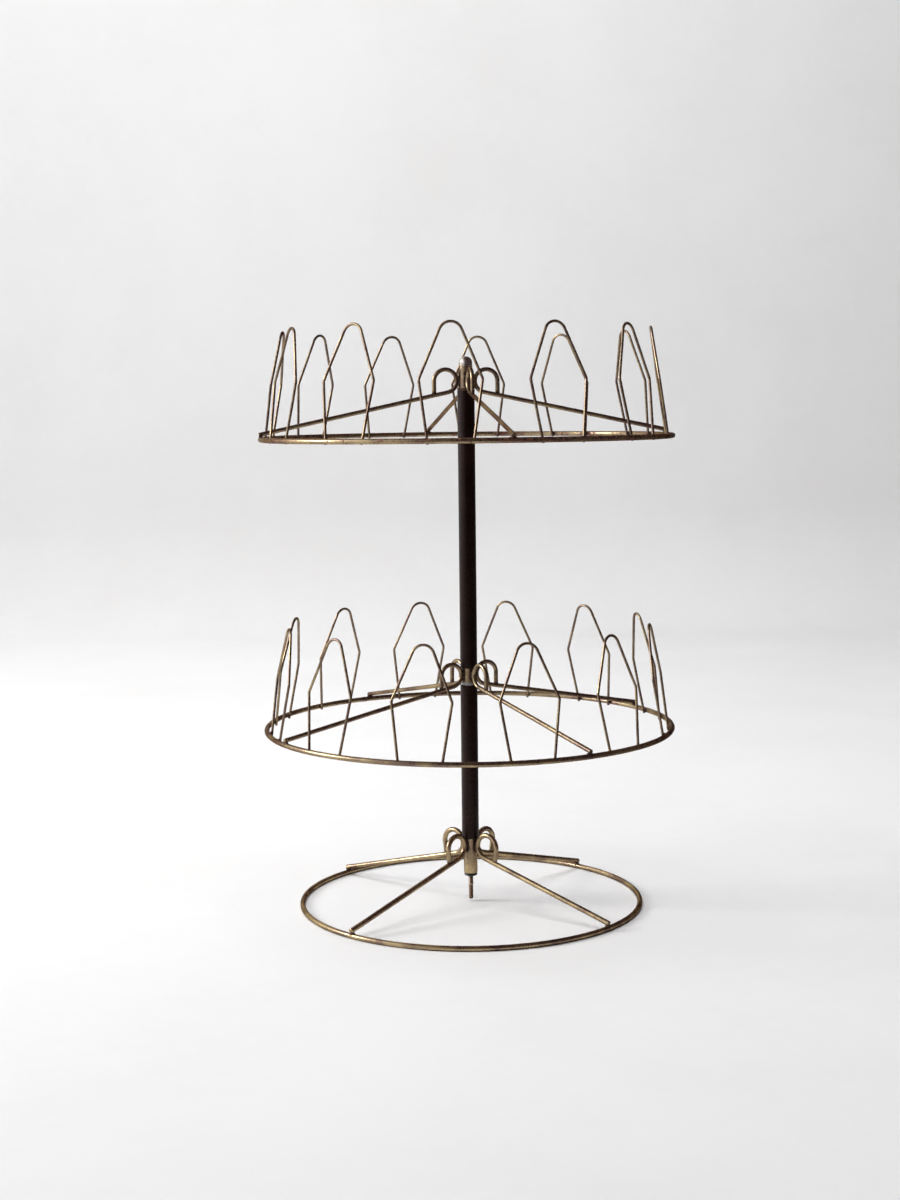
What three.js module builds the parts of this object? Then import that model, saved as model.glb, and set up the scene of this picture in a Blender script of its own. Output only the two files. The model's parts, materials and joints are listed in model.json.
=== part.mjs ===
// A two-tier revolving wire rack on a round wire foot.
//
// Units are millimetres and +Z is up. The origin is on the rack's axis, at the level it stands on.
// Azimuth 0 is the front, -Y, and azimuth grows towards +X.
//
// Three welded wheels sit on one axis. Each wheel is a wire ring, four wire spokes and a short hub
// tube, and a spoke curls into a crook beside the hub. The bottom wheel is the foot. The two others
// are tiers that turn, and each carries twelve upright wire loops. Two poles space the wheels apart,
// and a tie rod with a ball nut on top runs through everything.
import * as THREE from 'three';

const rad = THREE.MathUtils.degToRad;

// Wire and tube stock, as diameters.
const RING_WIRE = 4.76;
const BASE_SPOKE_WIRE = 4.76;
const TIER_SPOKE_WIRE = 4.0;
const LOOP_WIRE = 2.4;
const POLE_OD = 15.9;
const POLE_ID = 13.4;
const HUB_OD = 12.7;
const HUB_ID = 10.2;
const ROD_OD = 4.2;

// Crooks: the wire they are bent from, the bend's radius, how far the free leg leans in towards the
// hub (in degrees), and how far from the crook's middle a pole's end comes to sit on the wires.
const BASE_CROOK = { wire: BASE_SPOKE_WIRE, radius: 11.2, legLean: 9, poleSeat: 6.6 };
const TIER_CROOK = { wire: TIER_SPOKE_WIRE, radius: 10.5, legLean: 0, poleSeat: 6.3 };

// Wheels. Each was set up by hand before welding, so its crooks stand a little higher or lower above
// its ring (rise), its hub a little higher or lower beside them (hubTop), and its spokes are not quite
// square to each other (azimuths, in degrees).
const BASE_SPOKES = [-42, 49, 137, 230];
const TIER_SPOKES = [15.9, 103.2, 195.8, 283.8];
const BASE = { ringRadius: 158.4, rise: 52.1, hubTop: 11.4, crook: BASE_CROOK, spokes: BASE_SPOKES };
const LOWER = { ringRadius: 188.1, rise: 47.8, hubTop: 14, crook: TIER_CROOK, spokes: TIER_SPOKES };
const UPPER = { ringRadius: 188.1, rise: 51.2, hubTop: 12.4, crook: TIER_CROOK, spokes: TIER_SPOKES };
const HUB_LENGTH = 38.1;
const SPOKE_OVERRUN = 1.5;

// Loops, measured on the wire's centreline in the loop's own plane, from the ring's level.
const LOOPS_PER_TIER = 12;
const LOOP_LEAN = 8.8;
const LOOP_TAIL = 2.7;
const FOOT_HALF_WIDTH = 19.3;
const SHOULDER_HALF_WIDTH = 26.4;
const SHOULDER_HEIGHT = 50.9;
const SHOULDER_RADIUS = 5;
const CROWN_HEIGHT = 98.7;
const CROWN_RADIUS = 9.8;

// The stack on the axis.
const LOWER_POLE_LENGTH = 145.3;
const UPPER_POLE_LENGTH = 256.3;
const LOWER_WASHER = { diameter: 15, thickness: 3 };
const UPPER_WASHER = { diameter: 15.9, thickness: 2 };
const ROD_BOTTOM = 2.4;
const ROD_COLLAR = { diameter: 4.7, height: 0.8, level: 16.4 };
const BOTTOM_BUSH = { diameter: 12.3, lip: 2.7, edge: 1.2, spigot: 5 };
const TOP_BUSH = { diameter: 12.4, lip: 0.9, edge: 0.3, spigot: 6 };
const ROD_NUT = { acrossFlats: 7.94, thickness: 3.2 };
const BALL_NUT = { flange: 12.5, lip: 1.2, neck: 11.2, neckHeight: 0.4, ball: 12.2, height: 8.8 };
const BALL_NUT_BORE_DEPTH = 6;
const ROD_END_GAP = 1;

// How the tiers are turned at rest, in degrees of azimuth.
const LOWER_TIER_AZIMUTH = 16.3;
const UPPER_TIER_AZIMUTH = -4.6;

// Gaps: between welded wires, between a ring and its loops (the ring's flat segments stand a little
// inside its true circle), beside a part that turns, and around a part in a bore.
const WELD_GAP = 0.2;
const LOOP_WELD_GAP = 0.4;
const RUNNING_GAP = 0.2;
const BORE_GAP = 0.15;

// Facets.
const RING_SEGMENTS = 72;
const TUBE_SEGMENTS = 24;
const ROD_SEGMENTS = 16;
const RING_SIDES = 8;
const WIRE_SIDES = 6;
const NUT_SIDES = 6;
const BEND_STEP = rad(18);

// ---- Finishes: each piece gets a material of its own ----

function finish(color, roughness, metalness) {
  return () => new THREE.MeshStandardMaterial({ color, roughness, metalness });
}

const agedBrass = finish(0x8c7654, 0.42, 0.9);
const darkBronze = finish(0x1d1513, 0.38, 0.5);
const tarnishedRod = finish(0x6e5a45, 0.5, 0.85);
const nickel = finish(0xb9b3a8, 0.15, 1);
const zinc = finish(0x777a78, 0.5, 0.8);
const redFibre = finish(0x5a2e20, 0.85, 0);
const blackPlastic = finish(0x0b0b0d, 0.25, 0);

// ---- Turned pieces ----

// Turns a profile of [radius, height] points about Z. The profile runs up its outer side.
function turned(profile, segments = TUBE_SEGMENTS) {
  const points = profile.map(([radius, height]) => new THREE.Vector2(radius, height));
  return new THREE.LatheGeometry(points, segments).rotateX(Math.PI / 2);
}

function tube(innerDiameter, outerDiameter, bottom, length) {
  const inner = innerDiameter / 2;
  const outer = outerDiameter / 2;
  const top = bottom + length;
  return turned([[inner, bottom], [outer, bottom], [outer, top], [inner, top], [inner, bottom]]);
}

// A wire ring about the origin, in the XY plane. Its section is an octagon that stands on a flat.
function wireRing(radius) {
  const corner = RING_WIRE / 2 / Math.cos(Math.PI / RING_SIDES);
  const profile = [];
  for (let i = 0; i <= RING_SIDES; i += 1) {
    const turn = ((i % RING_SIDES) + 0.5) * (2 * Math.PI / RING_SIDES);
    profile.push([radius + corner * Math.cos(turn), corner * Math.sin(turn)]);
  }
  return turned(profile, RING_SEGMENTS);
}

// ---- Bent wire ----

// A wire's centreline through a list of stations. It is sampled at the stations only, so a straight
// run is one segment and a bend has as many as it needs.
class WireCentreline extends THREE.Curve {
  constructor(stations) {
    super();
    this.stations = stations;
    this.segments = stations.length - 1;
  }

  getPointAt(u, target = new THREE.Vector3()) {
    return target.copy(this.stations[Math.round(u * this.segments)]);
  }

  getTangentAt(u, target = new THREE.Vector3()) {
    const index = Math.round(u * this.segments);
    const here = this.stations[index];
    const before = this.stations[index - 1] ?? here;
    const after = this.stations[index + 1] ?? here;
    const incoming = here.clone().sub(before).normalize();
    const outgoing = after.clone().sub(here).normalize();
    return target.addVectors(incoming, outgoing).normalize();
  }
}

// An arc as 2D stations. It runs clockwise when it ends at a smaller angle than it starts.
function arc(centreX, centreY, radius, from, to) {
  const steps = Math.ceil(Math.abs(to - from) / BEND_STEP);
  return new THREE.ArcCurve(centreX, centreY, radius, from, to, to < from).getPoints(steps);
}

// The corner radius of a wire's hexagonal section that has as much area as the round wire.
function sectionRadius(diameter) {
  const sector = Math.sin(2 * Math.PI / WIRE_SIDES) / 2;
  return diameter / 2 * Math.sqrt(Math.PI / (WIRE_SIDES * sector));
}

// How far a wire reaches towards a neighbour that one of its flats faces.
function flatRadius(diameter) {
  return sectionRadius(diameter) * Math.cos(Math.PI / WIRE_SIDES);
}

// Sweeps a wire of this diameter along stations that lie in one plane. With turn 0 two of its flats
// face along that plane, and with half a side's turn two of them face out of it.
function sweptWire(stations, diameter, turn = 0) {
  const corner = sectionRadius(diameter);
  const outline = [];
  for (let i = 0; i < WIRE_SIDES; i += 1) {
    const angle = turn + i * (2 * Math.PI / WIRE_SIDES);
    outline.push(new THREE.Vector2(corner * Math.cos(angle), corner * Math.sin(angle)));
  }
  const centreline = new WireCentreline(stations);
  return new THREE.ExtrudeGeometry(new THREE.Shape(outline), {
    steps: centreline.segments,
    bevelEnabled: false,
    extrudePath: centreline,
  });
}

// A spoke at azimuth 0, with its ring's centreline at height 0. It lies on the ring, climbs to the
// hub, turns up and over beside it, and ends in a short leg just above itself.
function spoke({ ringRadius, rise, crook }) {
  const wireRadius = flatRadius(crook.wire);
  const crookAt = HUB_OD / 2 + WELD_GAP + wireRadius + crook.radius;

  // The straight run is a tangent to two circles: one around the crook, under which it passes, and
  // one around the ring's wire, on which it rests.
  const ringCorner = RING_WIRE / 2 / Math.cos(Math.PI / RING_SIDES);
  const restRadius = ringCorner + WELD_GAP + wireRadius;
  const run = ringRadius - crookAt;
  const slope = Math.atan2(rise, run) - Math.asin((crook.radius + restRadius) / Math.hypot(run, rise));

  // u is the distance from the axis and v is the height.
  const endU = ringRadius + SPOKE_OVERRUN;
  const restU = ringRadius + restRadius * Math.sin(slope);
  const restV = restRadius * Math.cos(slope);
  const endV = restV - (endU - restU) * Math.tan(slope);
  const lean = rad(crook.legLean);
  const bend = arc(crookAt, rise, crook.radius, -Math.PI / 2 - slope, -2 * Math.PI - lean);

  // The leg runs straight on from the bend until its end's lower edge is just clear of the run.
  const legTop = bend[bend.length - 1];
  const aboveRun = (legTop.x - restU) * Math.sin(slope) + (legTop.y - restV) * Math.cos(slope);
  const clearance = wireRadius * (1 + Math.sin(slope - lean)) + WELD_GAP;
  const legLength = (aboveRun - clearance) / Math.cos(slope - lean);
  const legEnd = new THREE.Vector2(-Math.sin(lean), -Math.cos(lean)).multiplyScalar(legLength).add(legTop);

  const stations = [new THREE.Vector2(endU, endV), ...bend, legEnd];
  const placed = stations.map(({ x: u, y: v }) => new THREE.Vector3(0, -u, v));
  return sweptWire(placed, crook.wire);
}

// A loop in the XZ plane, with the ring's level at height 0: a pair of feet, a shoulder bend on each
// side and a round crown.
function loop() {
  const crownCentre = CROWN_HEIGHT - CROWN_RADIUS;
  const legTilt = Math.atan2(SHOULDER_HALF_WIDTH - FOOT_HALF_WIDTH, SHOULDER_HEIGHT);
  const reach = Math.hypot(SHOULDER_HALF_WIDTH, crownCentre - SHOULDER_HEIGHT);
  const sideTilt = Math.atan2(SHOULDER_HALF_WIDTH, crownCentre - SHOULDER_HEIGHT)
    - Math.asin(CROWN_RADIUS / reach);

  // The shoulder's bend touches the leg below it and the side above it.
  const halfBend = (legTilt + sideTilt) / 2;
  const bisector = (sideTilt - legTilt) / 2;
  const toCentre = SHOULDER_RADIUS / Math.cos(halfBend);
  const bendX = SHOULDER_HALF_WIDTH - toCentre * Math.cos(bisector);
  const bendZ = SHOULDER_HEIGHT - toCentre * Math.sin(bisector);

  const tail = new THREE.Vector2(FOOT_HALF_WIDTH - LOOP_TAIL * Math.tan(legTilt), -LOOP_TAIL);
  const shoulder = arc(bendX, bendZ, SHOULDER_RADIUS, -legTilt, sideTilt);
  const crown = arc(0, crownCentre, CROWN_RADIUS, sideTilt, Math.PI - sideTilt);
  const right = [tail, ...shoulder];
  const left = right.map(({ x, y }) => new THREE.Vector2(-x, y)).reverse();
  const stations = [...right, ...crown, ...left];
  const placed = stations.map(({ x, y: z }) => new THREE.Vector3(x, 0, z));
  return sweptWire(placed, LOOP_WIRE, Math.PI / WIRE_SIDES);
}

// ---- Building blocks ----

function piece(name, geometry, material) {
  const mesh = new THREE.Mesh(geometry, material);
  mesh.name = name;
  return mesh;
}

// Turns a piece built at azimuth 0 to its own azimuth.
function atAzimuth(degrees, object) {
  const arm = new THREE.Group();
  arm.rotation.z = rad(degrees);
  arm.add(object);
  return arm;
}

// A ring, its spokes and its hub, with the ring's centreline at height 0.
function wheel(name, design) {
  const group = new THREE.Group();
  group.add(piece(`${name}_ring`, wireRing(design.ringRadius), agedBrass()));
  design.spokes.forEach((azimuth, i) => {
    group.add(atAzimuth(azimuth, piece(`${name}_spoke_${i + 1}`, spoke(design), agedBrass())));
  });
  const hubBottom = design.rise + design.hubTop - HUB_LENGTH;
  group.add(piece(`${name}_hub`, tube(HUB_ID, HUB_OD, hubBottom, HUB_LENGTH), agedBrass()));
  return group;
}

// A wheel with its loops. The loops' feet are welded to the ring's inner side, and they lean inwards.
function tier(name, design) {
  const group = wheel(name, design);
  const ringAtFoot = Math.sqrt(design.ringRadius ** 2 - FOOT_HALF_WIDTH ** 2);
  const footLine = ringAtFoot - RING_WIRE / 2 - flatRadius(LOOP_WIRE) - LOOP_WELD_GAP;
  for (let i = 0; i < LOOPS_PER_TIER; i += 1) {
    const mesh = piece(`${name}_loop_${String(i + 1).padStart(2, '0')}`, loop(), agedBrass());
    mesh.position.y = -footLine;
    mesh.rotation.x = -rad(LOOP_LEAN);
    group.add(atAzimuth(i * 360 / LOOPS_PER_TIER, mesh));
  }
  return group;
}

// ---- Levels ----

const BASE_RING_LEVEL = RING_WIRE / 2;
const BASE_CROOK_LEVEL = BASE_RING_LEVEL + BASE.rise;
const LOWER_POLE_BOTTOM = BASE_CROOK_LEVEL + BASE_CROOK.poleSeat;
const LOWER_WASHER_BOTTOM = LOWER_POLE_BOTTOM + LOWER_POLE_LENGTH + RUNNING_GAP;
const LOWER_WASHER_TOP = LOWER_WASHER_BOTTOM + LOWER_WASHER.thickness;
const LOWER_CROOK_LEVEL = LOWER_WASHER_TOP + RUNNING_GAP + TIER_CROOK.poleSeat;
const UPPER_POLE_BOTTOM = LOWER_CROOK_LEVEL + TIER_CROOK.poleSeat;
const UPPER_WASHER_BOTTOM = UPPER_POLE_BOTTOM + UPPER_POLE_LENGTH + RUNNING_GAP;
const UPPER_WASHER_TOP = UPPER_WASHER_BOTTOM + UPPER_WASHER.thickness;
const UPPER_CROOK_LEVEL = UPPER_WASHER_TOP + RUNNING_GAP + TIER_CROOK.poleSeat;
const BASE_HUB_BOTTOM = BASE_CROOK_LEVEL + BASE.hubTop - HUB_LENGTH;
const TOP_HUB_TOP = UPPER_CROOK_LEVEL + UPPER.hubTop;
const TOP_BUSH_TOP = TOP_HUB_TOP + BORE_GAP + TOP_BUSH.lip;
const BALL_NUT_BOTTOM = TOP_BUSH_TOP + RUNNING_GAP;

// ---- The rod and what sits on it ----

// The rod carries a thin swaged collar near its lower end.
function tieRod() {
  const radius = ROD_OD / 2;
  const collarRadius = ROD_COLLAR.diameter / 2;
  const collarTop = ROD_COLLAR.level + ROD_COLLAR.height;
  const top = BALL_NUT_BOTTOM + BALL_NUT_BORE_DEPTH - ROD_END_GAP;
  const profile = [
    [0, ROD_BOTTOM],
    [radius, ROD_BOTTOM],
    [radius, ROD_COLLAR.level],
    [collarRadius, ROD_COLLAR.level],
    [collarRadius, collarTop],
    [radius, collarTop],
    [radius, top],
    [0, top],
  ];
  return turned(profile, ROD_SEGMENTS);
}

// A bush whose lip lies against a hub's end, and whose spigot fills the hub's bore around the rod.
// It is drawn with the spigot up, from the lip's outer face at height 0.
function bush({ diameter, lip, edge, spigot }) {
  const bore = ROD_OD / 2 + RUNNING_GAP;
  const spigotRadius = HUB_ID / 2 - BORE_GAP;
  const outer = diameter / 2;
  const profile = [
    [bore, 0],
    [outer - edge, 0],
    [outer, edge],
    [outer, lip],
    [spigotRadius, lip],
    [spigotRadius, lip + spigot],
    [bore, lip + spigot],
    [bore, 0],
  ];
  return turned(profile);
}

function bottomBush() {
  return bush(BOTTOM_BUSH).translate(0, 0, BASE_HUB_BOTTOM - BORE_GAP - BOTTOM_BUSH.lip);
}

function topBush() {
  return bush(TOP_BUSH).rotateX(Math.PI).translate(0, 0, TOP_BUSH_TOP);
}

// A six-sided nut, threaded on the rod inside the bottom hub, that pulls on the bottom bush.
function rodNut() {
  const corner = ROD_NUT.acrossFlats / 2 / Math.cos(Math.PI / NUT_SIDES);
  const corners = [];
  for (let i = 0; i < NUT_SIDES; i += 1) {
    const angle = i * (2 * Math.PI / NUT_SIDES);
    corners.push(new THREE.Vector2(corner * Math.cos(angle), corner * Math.sin(angle)));
  }
  const outline = new THREE.Shape(corners);
  outline.holes.push(new THREE.Path().absarc(0, 0, ROD_OD / 2 + BORE_GAP, 0, 2 * Math.PI, true));
  const nut = new THREE.ExtrudeGeometry(outline, {
    depth: ROD_NUT.thickness,
    curveSegments: ROD_SEGMENTS / 2,
    bevelEnabled: false,
  });
  return nut.translate(0, 0, BASE_HUB_BOTTOM + BOTTOM_BUSH.spigot + BORE_GAP);
}

// A flanged ball with a blind bore for the rod's upper end.
function ballNut() {
  const bore = ROD_OD / 2 + BORE_GAP;
  const ball = BALL_NUT.ball / 2;
  const ballCentre = BALL_NUT.height - ball;
  const neckTop = BALL_NUT.lip + BALL_NUT.neckHeight;
  const ballStart = Math.asin((neckTop - ballCentre) / ball);
  const dome = arc(0, ballCentre, ball, ballStart, Math.PI / 2).map(({ x, y }) => [x, y]);
  dome[dome.length - 1][0] = 0;
  const profile = [
    [0, BALL_NUT_BORE_DEPTH],
    [bore, BALL_NUT_BORE_DEPTH],
    [bore, 0],
    [BALL_NUT.flange / 2, 0],
    [BALL_NUT.flange / 2, BALL_NUT.lip],
    [BALL_NUT.neck / 2, BALL_NUT.lip],
    [BALL_NUT.neck / 2, neckTop],
    ...dome,
  ];
  return turned(profile).translate(0, 0, BALL_NUT_BOTTOM);
}

// ---- Assembly ----

const lowerPole = tube(POLE_ID, POLE_OD, LOWER_POLE_BOTTOM, LOWER_POLE_LENGTH);
const upperPole = tube(POLE_ID, POLE_OD, UPPER_POLE_BOTTOM, UPPER_POLE_LENGTH);
const washerBore = HUB_OD + 2 * RUNNING_GAP;
const lowerWasher = tube(washerBore, LOWER_WASHER.diameter, LOWER_WASHER_BOTTOM, LOWER_WASHER.thickness);
const upperWasher = tube(washerBore, UPPER_WASHER.diameter, UPPER_WASHER_BOTTOM, UPPER_WASHER.thickness);

const base = wheel('base', BASE);
base.position.z = BASE_RING_LEVEL;

const lowerTier = tier('lower_tier', LOWER);
lowerTier.position.z = LOWER_CROOK_LEVEL - LOWER.rise;
lowerTier.rotation.z = rad(LOWER_TIER_AZIMUTH);

const upperTier = tier('upper_tier', UPPER);
upperTier.position.z = UPPER_CROOK_LEVEL - UPPER.rise;
upperTier.rotation.z = rad(UPPER_TIER_AZIMUTH);

const rack = new THREE.Group();
rack.add(base);
rack.add(lowerTier);
rack.add(upperTier);
rack.add(piece('lower_pole', lowerPole, darkBronze()));
rack.add(piece('upper_pole', upperPole, darkBronze()));
rack.add(piece('lower_washer', lowerWasher, zinc()));
rack.add(piece('upper_washer', upperWasher, redFibre()));
rack.add(piece('tie_rod', tieRod(), tarnishedRod()));
rack.add(piece('rod_nut', rodNut(), zinc()));
rack.add(piece('bottom_bush', bottomBush(), blackPlastic()));
rack.add(piece('top_bush', topBush(), agedBrass()));
rack.add(piece('ball_nut', ballNut(), nickel()));

export default rack;
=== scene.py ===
import json
import math
import random

import bpy
import bmesh
import numpy as np
from mathutils import Matrix, Vector, noise


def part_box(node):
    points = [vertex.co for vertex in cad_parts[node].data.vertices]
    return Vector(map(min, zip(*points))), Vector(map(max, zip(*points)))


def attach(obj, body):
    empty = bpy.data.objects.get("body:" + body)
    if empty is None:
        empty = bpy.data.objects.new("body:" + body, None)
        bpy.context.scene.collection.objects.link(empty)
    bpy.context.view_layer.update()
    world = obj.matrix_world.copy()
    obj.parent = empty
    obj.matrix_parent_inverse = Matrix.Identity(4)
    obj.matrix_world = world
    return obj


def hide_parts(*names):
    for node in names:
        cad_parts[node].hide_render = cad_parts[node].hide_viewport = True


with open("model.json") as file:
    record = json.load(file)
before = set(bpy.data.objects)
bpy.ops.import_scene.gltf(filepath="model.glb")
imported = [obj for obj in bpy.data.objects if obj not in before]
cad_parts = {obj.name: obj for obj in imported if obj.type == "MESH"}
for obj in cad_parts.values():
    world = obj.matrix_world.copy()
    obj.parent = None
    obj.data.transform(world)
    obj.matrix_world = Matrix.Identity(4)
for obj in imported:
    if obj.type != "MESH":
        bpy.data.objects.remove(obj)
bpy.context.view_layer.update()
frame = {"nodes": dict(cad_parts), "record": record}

MM = 0.001
FULL_TURN = 2 * math.pi

# ---- Stock and bends, the same as in the CAD part ----

RING_WIRE = 4.76 * MM
SPOKE_WIRE = {"base": 4.76 * MM, "lower_tier": 4.0 * MM, "upper_tier": 4.0 * MM}
LOOP_WIRE = 2.4 * MM
HUB_OD = 12.7 * MM

# How far a spoke's outer end reaches past the middle of the ring's wire.
SPOKE_OVERRUN = 1.5 * MM

# The welded wires stand a little apart in the CAD part, and these are the same distances: from the
# hub's side to the middle of a crook's wire, and from the middle of a ring's wire to the middle of a
# spoke's that lies on it or of a loop's beside it.
SPOKE_TO_HUB = {"base": 2.466 * MM, "lower_tier": 2.105 * MM, "upper_tier": 2.105 * MM}
SPOKE_TO_RING = {"base": 5.042 * MM, "lower_tier": 4.68 * MM, "upper_tier": 4.68 * MM}
LOOP_TO_RING = 3.923 * MM

# A crook's leg ends this many wire diameters above the middle of the wire it is welded to.
LEG_CLEARANCE = 0.53

# How far a wheel's hub stands above the middle of its crooks, the crooks' radius, and how far their
# free legs lean in towards the hub.
HUB_ABOVE_CROOK = {"base": 11.4 * MM, "lower_tier": 14 * MM, "upper_tier": 12.4 * MM}
CROOK_RADIUS = {"base": 11.2 * MM, "lower_tier": 10.5 * MM, "upper_tier": 10.5 * MM}
LEG_LEAN = {"base": math.radians(9), "lower_tier": 0, "upper_tier": 0}

# Loops, on the wire's centreline in the loop's own plane, from the ring's level.
LOOP_LEAN = math.radians(8.8)
LOOP_TAIL = 2.7 * MM
FOOT_HALF_WIDTH = 19.3 * MM
SHOULDER_HALF_WIDTH = 26.4 * MM
SHOULDER_HEIGHT = 50.9 * MM
SHOULDER_RADIUS = 5 * MM
CROWN_HEIGHT = 98.7 * MM
CROWN_RADIUS = 9.8 * MM

# ---- Fineness of the meshes ----

RING_STATIONS = 420
WIRE_SIDES = 14
BEND_STEP = math.radians(5)
STRAIGHT_STEP = 3 * MM
TURNED_SEGMENTS = 72

# ---- Reading the frame ----


def vertices_of(node):
    return np.array([v.co for v in frame["nodes"][node].data.vertices], float)


def reach_of(node):
    """The greatest distance of a node from the rack's axis."""
    points = vertices_of(node)
    return float(np.hypot(points[:, 0], points[:, 1]).max())


def bore_of(node):
    """The smallest distance of a node from the rack's axis."""
    points = vertices_of(node)
    return float(np.hypot(points[:, 0], points[:, 1]).min())


def azimuth_of(node, beyond=0.0):
    """The azimuth of a wire, from the part of it that is farther than this from the axis."""
    points = vertices_of(node)
    far = points[np.hypot(points[:, 0], points[:, 1]) > beyond]
    x, y = far[:, 0].mean(), far[:, 1].mean()
    return math.atan2(x, -y)


def levels_of(node):
    low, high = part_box(node)
    return low.z, high.z


def nodes_with(prefix):
    return sorted(name for name in frame["nodes"] if name.startswith(prefix))


BODY_OF = {
    node: body
    for body, members in frame["record"]["behaviour"]["bodies"].items()
    for node in members
}

# ---- Meshes ----


class Shape:
    """The vertices and faces of one piece. It can hold several closed parts."""

    def __init__(self):
        self.points = []
        self.faces = []

    def add(self, points, faces):
        start = len(self.points)
        self.points.extend(tuple(point) for point in points)
        self.faces.extend(tuple(start + i for i in face) for face in faces)


def add_piece(name, shape, body, material, joints=(), sharp=40):
    """Makes an object of a shape. The vertices near a joint are marked, for the material to darken."""
    mesh = bpy.data.meshes.new(name)
    mesh.from_pydata(shape.points, [], shape.faces)
    mesh.shade_smooth()
    mesh.set_sharp_from_angle(angle=math.radians(sharp))
    marks = mesh.attributes.new("joint", "FLOAT", "POINT")
    marks.data.foreach_set("value", nearness(shape.points, joints).astype(np.float32))
    piece = bpy.data.objects.new(name, mesh)
    bpy.context.scene.collection.objects.link(piece)
    mesh.materials.append(material)
    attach(piece, body)
    return piece


def add_detail(node, shape, material, joints=(), sharp=40):
    """Makes the fine piece that stands for a CAD node."""
    piece = add_piece(f"{node}_detail", shape, BODY_OF[node], material, joints, sharp)
    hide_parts(node)
    return piece


# At this distance from a joint its mark has fallen to about a third.
JOINT_REACH = 3.5 * MM


def nearness(points, joints):
    """1 at a joint, falling smoothly to 0 around it."""
    points = np.array(points, float)
    near = np.zeros(len(points))
    for joint in joints:
        distance = np.linalg.norm(points - np.array(joint), axis=1)
        near = np.maximum(near, np.exp(-((distance / JOINT_REACH) ** 2)))
    return near


def section_frames(path, closed):
    """Two directions across the path at each of its stations, carried along it without twisting.
    The first starts square to the plane that the path lies nearest to."""
    ahead = np.roll(path, -1, axis=0) - path
    ahead /= np.linalg.norm(ahead, axis=1)[:, None]
    behind = np.roll(ahead, 1, axis=0)
    if not closed:
        ahead[-1] = behind[-1]
        behind[0] = ahead[0]
    along = ahead + behind
    along /= np.linalg.norm(along, axis=1)[:, None]
    principal_axes = np.linalg.svd(path - path.mean(0), full_matrices=False)[2]
    side = principal_axes[2]
    sides = []
    for direction in along:
        side = side - direction * side.dot(direction)
        side = side / np.linalg.norm(side)
        sides.append(side)
    sides = np.array(sides)
    return sides, np.cross(along, sides)


# The bevel around a wire's cut end, as a share of the wire's radius.
END_BEVEL = 0.14


def sweep(path, radii, closed=False):
    """A round wire along a path, as points and faces. An open wire ends in a flat cut with a bevel."""
    path = np.array(path, float)
    sides, ups = section_frames(path, closed)
    radii = np.array(radii, float)
    if not closed:
        first, last = path[0] - path[1], path[-1] - path[-2]
        first /= np.linalg.norm(first)
        last /= np.linalg.norm(last)
        head = path[0] + first * radii[0] * END_BEVEL
        tail = path[-1] + last * radii[-1] * END_BEVEL
        path = np.vstack([head, path, tail])
        sides = np.vstack([sides[0], sides, sides[-1]])
        ups = np.vstack([ups[0], ups, ups[-1]])
        radii = np.hstack([radii[0] * (1 - END_BEVEL), radii, radii[-1] * (1 - END_BEVEL)])
    turns = np.arange(WIRE_SIDES) * FULL_TURN / WIRE_SIDES
    around = (
        np.cos(turns)[None, :, None] * sides[:, None, :]
        + np.sin(turns)[None, :, None] * ups[:, None, :]
    )
    points = (path[:, None, :] + around * radii[:, None, None]).reshape(-1, 3)
    return points, grid_faces(len(path), WIRE_SIDES, closed, cap=not closed)


def grid_faces(rows, columns, wrap_rows, cap):
    """The faces of a grid that closes on itself across its columns, and also along its rows or with
    a cap at each end."""
    faces = []
    for i in range(rows if wrap_rows else rows - 1):
        below = i * columns
        above = (i + 1) % rows * columns
        for j in range(columns):
            k = (j + 1) % columns
            faces.append((below + j, below + k, above + k, above + j))
    if cap:
        faces.append(tuple(reversed(range(columns))))
        faces.append(tuple((rows - 1) * columns + j for j in range(columns)))
    return faces


def lathe(profile):
    """Turns a profile of (radius, height) pairs about the axis. A profile whose two ends are on the
    axis makes a full body, and any other is closed on itself and makes a tube. The profile runs up
    its outer side."""
    on_axis = profile[0][0] == 0
    rows = profile[1:-1] if on_axis else profile
    turns = np.arange(TURNED_SEGMENTS) * FULL_TURN / TURNED_SEGMENTS
    points = [(r * math.cos(t), r * math.sin(t), z) for r, z in rows for t in turns]
    faces = grid_faces(len(rows), TURNED_SEGMENTS, wrap_rows=not on_axis, cap=on_axis)
    return points, faces


def turned(profile):
    shape = Shape()
    shape.add(*lathe(profile))
    return shape


# The most of a profile's side that one rounding takes.
LONGEST_CUT = 0.45


def rounded(profile, radius, steps=4):
    """Rounds every corner of a closed profile, by this much or by what its shorter side allows."""
    corners = [Vector(corner) for corner in profile]
    result = []
    for i, corner in enumerate(corners):
        to_last = corners[i - 1] - corner
        to_next = corners[(i + 1) % len(corners)] - corner
        cut = min(radius, to_last.length * LONGEST_CUT, to_next.length * LONGEST_CUT)
        start = corner + to_last.normalized() * cut
        end = corner + to_next.normalized() * cut
        for step in range(steps + 1):
            t = step / steps
            bend = start * (1 - t) ** 2 + corner * (2 * t * (1 - t)) + end * t ** 2
            result.append(tuple(bend))
    return result


# ---- Centrelines ----


def arc(centre_x, centre_y, radius, start, end):
    steps = math.ceil(abs(end - start) / BEND_STEP)
    angles = [start + (end - start) * i / steps for i in range(steps + 1)]
    return [(centre_x + radius * math.cos(a), centre_y + radius * math.sin(a)) for a in angles]


def filled(path):
    """The path with more stations on its straight runs."""
    result = [path[0]]
    for start, end in zip(path, path[1:]):
        steps = max(1, math.ceil(math.dist(start, end) / STRAIGHT_STEP))
        for i in range(1, steps + 1):
            t = i / steps
            result.append(tuple(a + (b - a) * t for a, b in zip(start, end)))
    return result


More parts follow.
